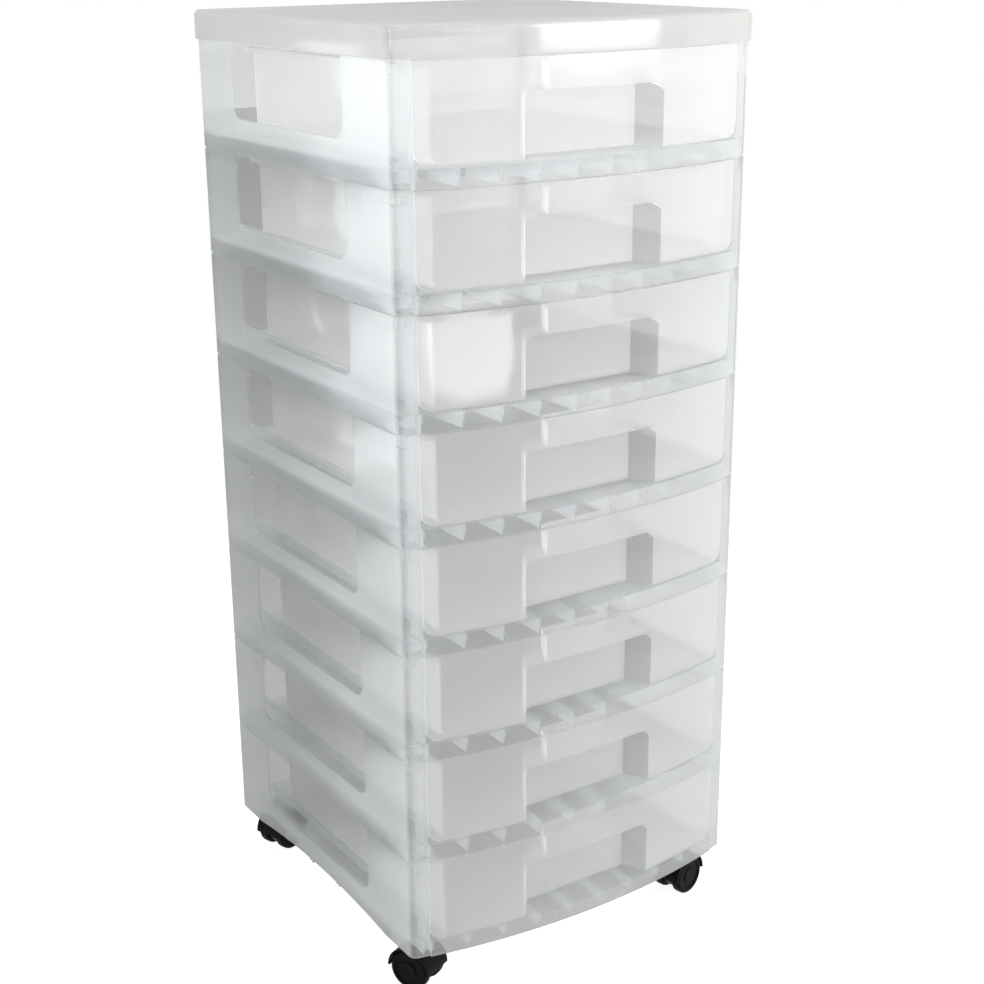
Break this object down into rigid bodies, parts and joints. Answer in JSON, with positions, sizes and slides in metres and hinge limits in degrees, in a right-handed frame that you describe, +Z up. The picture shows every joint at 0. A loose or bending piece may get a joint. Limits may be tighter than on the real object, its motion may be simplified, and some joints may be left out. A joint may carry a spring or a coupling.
{
  "type": "wheeled drawer tower",
  "caption": "Free-standing tower of stacked frames holding bowed front pull-out trays with finger pockets, open side windows, a flat cover and swivelling twin-wheel castors.",
  "frame": {"origin": "on the floor under the middle of the tower", "axes": "+Z up, -Y towards the drawer fronts, +X to the right of someone who faces them"},
  "size_m": [0.396, 0.4059, 0.926],
  "materials": {
    "frame_plastic": "clear, slightly milky moulded polypropylene",
    "drawer_plastic": "clear, slightly milky moulded polypropylene",
    "cover_plastic": "milky moulded polypropylene with a fine satin top",
    "castor_plastic": "black moulded nylon",
    "wheel_plastic": "black moulded nylon tread",
    "pin_steel": "bright zinc-plated steel"
  },
  "bodies": {
    "body": {"top_cover": "cover_plastic", "base_frame": "frame_plastic", "frame_2": "frame_plastic", "frame_3": "frame_plastic", "frame_4": "frame_plastic", "frame_5": "frame_plastic", "frame_6": "frame_plastic", "frame_7": "frame_plastic", "frame_8": "frame_plastic", "castor_stem_front_left": "pin_steel", "castor_stem_front_right": "pin_steel", "castor_stem_rear_left": "pin_steel", "castor_stem_rear_right": "pin_steel"},
    "drawer_1": {"drawer_1": "drawer_plastic"},
    "drawer_2": {"drawer_2": "drawer_plastic"},
    "drawer_3": {"drawer_3": "drawer_plastic"},
    "drawer_4": {"drawer_4": "drawer_plastic"},
    "drawer_5": {"drawer_5": "drawer_plastic"},
    "drawer_6": {"drawer_6": "drawer_plastic"},
    "drawer_7": {"drawer_7": "drawer_plastic"},
    "drawer_8": {"drawer_8": "drawer_plastic"},
    "castor_front_left": {"castor_housing_front_left": "castor_plastic", "castor_axle_front_left": "pin_steel"},
    "wheel_inner_front_left": {"castor_wheel_inner_front_left": "wheel_plastic"},
    "wheel_outer_front_left": {"castor_wheel_outer_front_left": "wheel_plastic"},
    "castor_front_right": {"castor_housing_front_right": "castor_plastic", "castor_axle_front_right": "pin_steel"},
    "wheel_inner_front_right": {"castor_wheel_inner_front_right": "wheel_plastic"},
    "wheel_outer_front_right": {"castor_wheel_outer_front_right": "wheel_plastic"},
    "castor_rear_left": {"castor_housing_rear_left": "castor_plastic", "castor_axle_rear_left": "pin_steel"},
    "wheel_inner_rear_left": {"castor_wheel_inner_rear_left": "wheel_plastic"},
    "wheel_outer_rear_left": {"castor_wheel_outer_rear_left": "wheel_plastic"},
    "castor_rear_right": {"castor_housing_rear_right": "castor_plastic", "castor_axle_rear_right": "pin_steel"},
    "wheel_inner_rear_right": {"castor_wheel_inner_rear_right": "wheel_plastic"},
    "wheel_outer_rear_right": {"castor_wheel_outer_rear_right": "wheel_plastic"}
  },
  "joints": [
    {"name": "drawer_1_slide", "type": "slide", "parent": "body", "child": "drawer_1", "axis": [0, -1, 0], "range_m": [0, 0.28]},
    {"name": "drawer_2_slide", "type": "slide", "parent": "body", "child": "drawer_2", "axis": [0, -1, 0], "range_m": [0, 0.28]},
    {"name": "drawer_3_slide", "type": "slide", "parent": "body", "child": "drawer_3", "axis": [0, -1, 0], "range_m": [0, 0.28]},
    {"name": "drawer_4_slide", "type": "slide", "parent": "body", "child": "drawer_4", "axis": [0, -1, 0], "range_m": [0, 0.28]},
    {"name": "drawer_5_slide", "type": "slide", "parent": "body", "child": "drawer_5", "axis": [0, -1, 0], "range_m": [0, 0.28]},
    {"name": "drawer_6_slide", "type": "slide", "parent": "body", "child": "drawer_6", "axis": [0, -1, 0], "range_m": [0, 0.28]},
    {"name": "drawer_7_slide", "type": "slide", "parent": "body", "child": "drawer_7", "axis": [0, -1, 0], "range_m": [0, 0.28]},
    {"name": "drawer_8_slide", "type": "slide", "parent": "body", "child": "drawer_8", "axis": [0, -1, 0], "range_m": [0, 0.28]},
    {"name": "castor_swivel_front_left", "type": "hinge", "parent": "body", "child": "castor_front_left", "pos_m": [-0.165, -0.149, 0.053], "axis": [0, 0, 1], "continuous": true},
    {"name": "castor_roll_inner_front_left", "type": "hinge", "parent": "castor_front_left", "child": "wheel_inner_front_left", "pos_m": [-0.1688, -0.14084, 0.021], "axis": [-0.9063, -0.4226, 0], "continuous": true},
    {"name": "castor_roll_outer_front_left", "type": "hinge", "parent": "castor_front_left", "child": "wheel_outer_front_left", "pos_m": [-0.1688, -0.14084, 0.021], "axis": [-0.9063, -0.4226, 0], "continuous": true},
    {"name": "castor_swivel_front_right", "type": "hinge", "parent": "body", "child": "castor_front_right", "pos_m": [0.165, -0.149, 0.053], "axis": [0, 0, 1], "continuous": true},
    {"name": "castor_roll_inner_front_right", "type": "hinge", "parent": "castor_front_right", "child": "wheel_inner_front_right", "pos_m": [0.15631, -0.15133, 0.021], "axis": [0.2588, -0.9659, 0], "continuous": true},
    {"name": "castor_roll_outer_front_right", "type": "hinge", "parent": "castor_front_right", "child": "wheel_outer_front_right", "pos_m": [0.15631, -0.15133, 0.021], "axis": [0.2588, -0.9659, 0], "continuous": true},
    {"name": "castor_swivel_rear_left", "type": "hinge", "parent": "body", "child": "castor_rear_left", "pos_m": [-0.165, 0.174, 0.053], "axis": [0, 0, 1], "continuous": true},
    {"name": "castor_roll_inner_rear_left", "type": "hinge", "parent": "castor_rear_left", "child": "wheel_inner_rear_left", "pos_m": [-0.15654, 0.17708, 0.021], "axis": [-0.342, 0.9397, 0], "continuous": true},
    {"name": "castor_roll_outer_rear_left", "type": "hinge", "parent": "castor_rear_left", "child": "wheel_outer_rear_left", "pos_m": [-0.15654, 0.17708, 0.021], "axis": [-0.342, 0.9397, 0], "continuous": true},
    {"name": "castor_swivel_rear_right", "type": "hinge", "parent": "body", "child": "castor_rear_right", "pos_m": [0.165, 0.174, 0.053], "axis": [0, 0, 1], "continuous": true},
    {"name": "castor_roll_inner_rear_right", "type": "hinge", "parent": "castor_rear_right", "child": "wheel_inner_rear_right", "pos_m": [0.15654, 0.17092, 0.021], "axis": [0.342, -0.9397, 0], "continuous": true},
    {"name": "castor_roll_outer_rear_right", "type": "hinge", "parent": "castor_rear_right", "child": "wheel_outer_rear_right", "pos_m": [0.15654, 0.17092, 0.021], "axis": [0.342, -0.9397, 0], "continuous": true}
  ]
}
